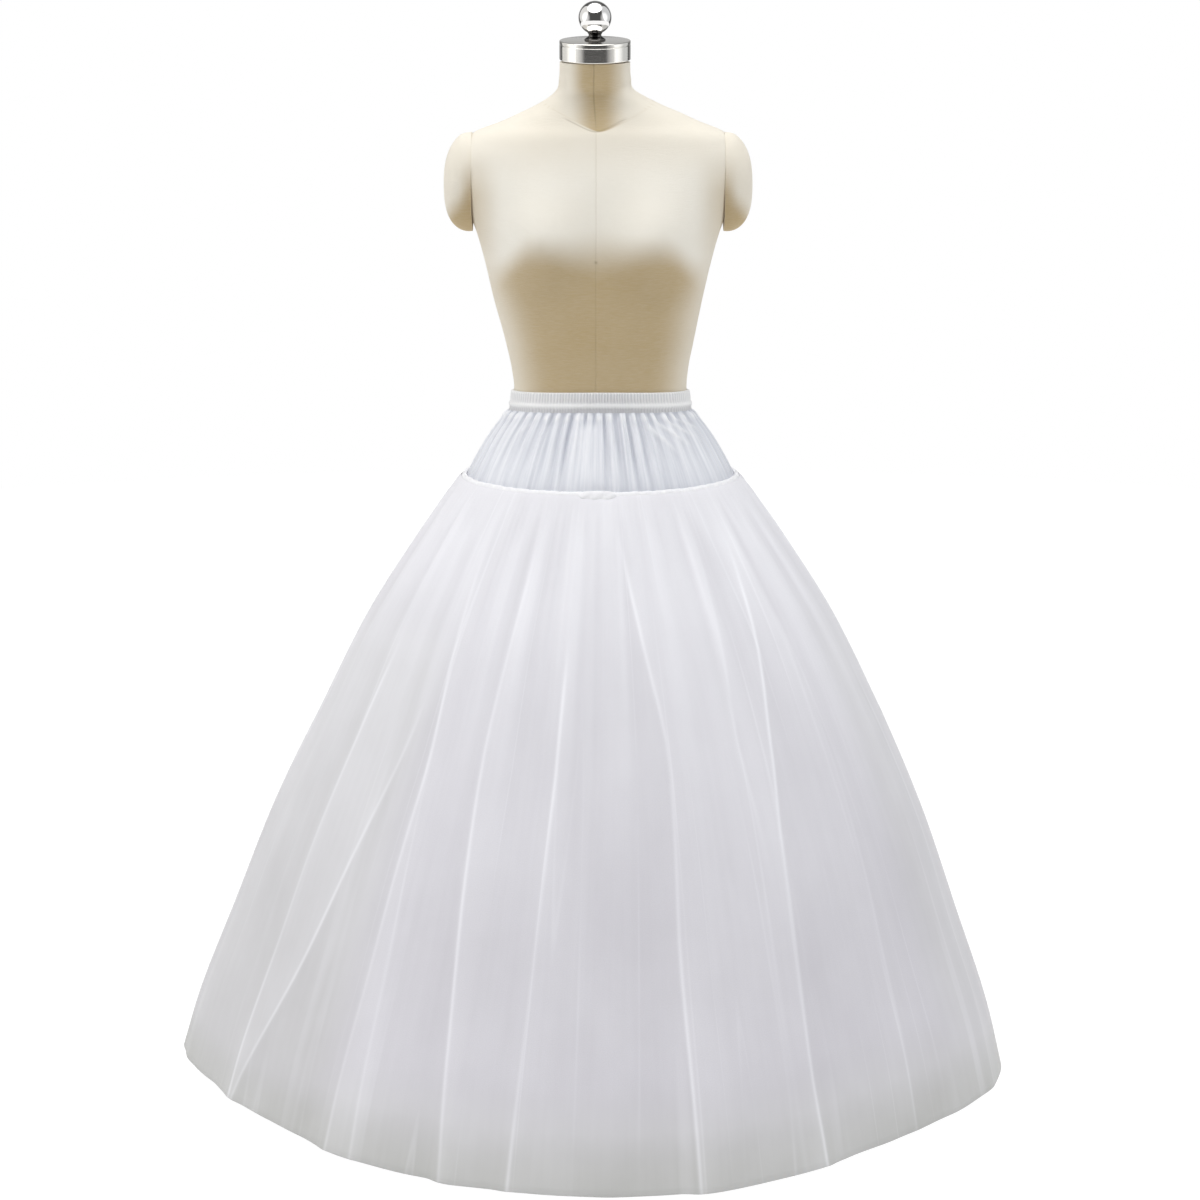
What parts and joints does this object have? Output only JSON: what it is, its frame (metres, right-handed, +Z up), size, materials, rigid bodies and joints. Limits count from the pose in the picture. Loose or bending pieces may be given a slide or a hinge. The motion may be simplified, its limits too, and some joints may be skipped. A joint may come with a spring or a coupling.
{
  "type": "cancan skirt on a dress form",
  "caption": "Floor-length A-line petticoat with elastic waistband, gathered satin yoke and tulle bell, on a limbless linen dress form with a stand.",
  "frame": {"origin": "centre of the stand base's flat underside, on the floor", "axes": "+Z up along the pole, the front of the skirt faces -Y, +X to the wearer's left"},
  "size_m": [1.1349, 1.0062, 1.4893],
  "materials": {
    "elastic": "ruched white elastic casing",
    "satin": "bluish-white satin, gathered",
    "binding": "rolled white binding",
    "tulle": "semi-transparent white tulle",
    "tier_tulle": "gathered white tulle",
    "linen": "cream linen, stretched smooth",
    "chrome": "polished, brushed on the cap's side",
    "pole_steel": "plated tube",
    "base_iron": "satin black"
  },
  "bodies": {
    "root": {"waistband": "elastic", "yoke_front": "satin", "yoke_back": "satin", "seam_binding": "binding", "binding_lap": "binding", "tulle_front": "tulle", "tulle_back": "tulle", "tier_front": "tier_tulle", "tier_back": "tier_tulle", "form_torso": "linen", "shoulder_cap_left": "linen", "shoulder_cap_right": "linen", "neck_cap": "chrome", "neck_knob": "chrome", "stand_pole": "pole_steel", "stand_base": "base_iron"}
  },
  "joints": []
}
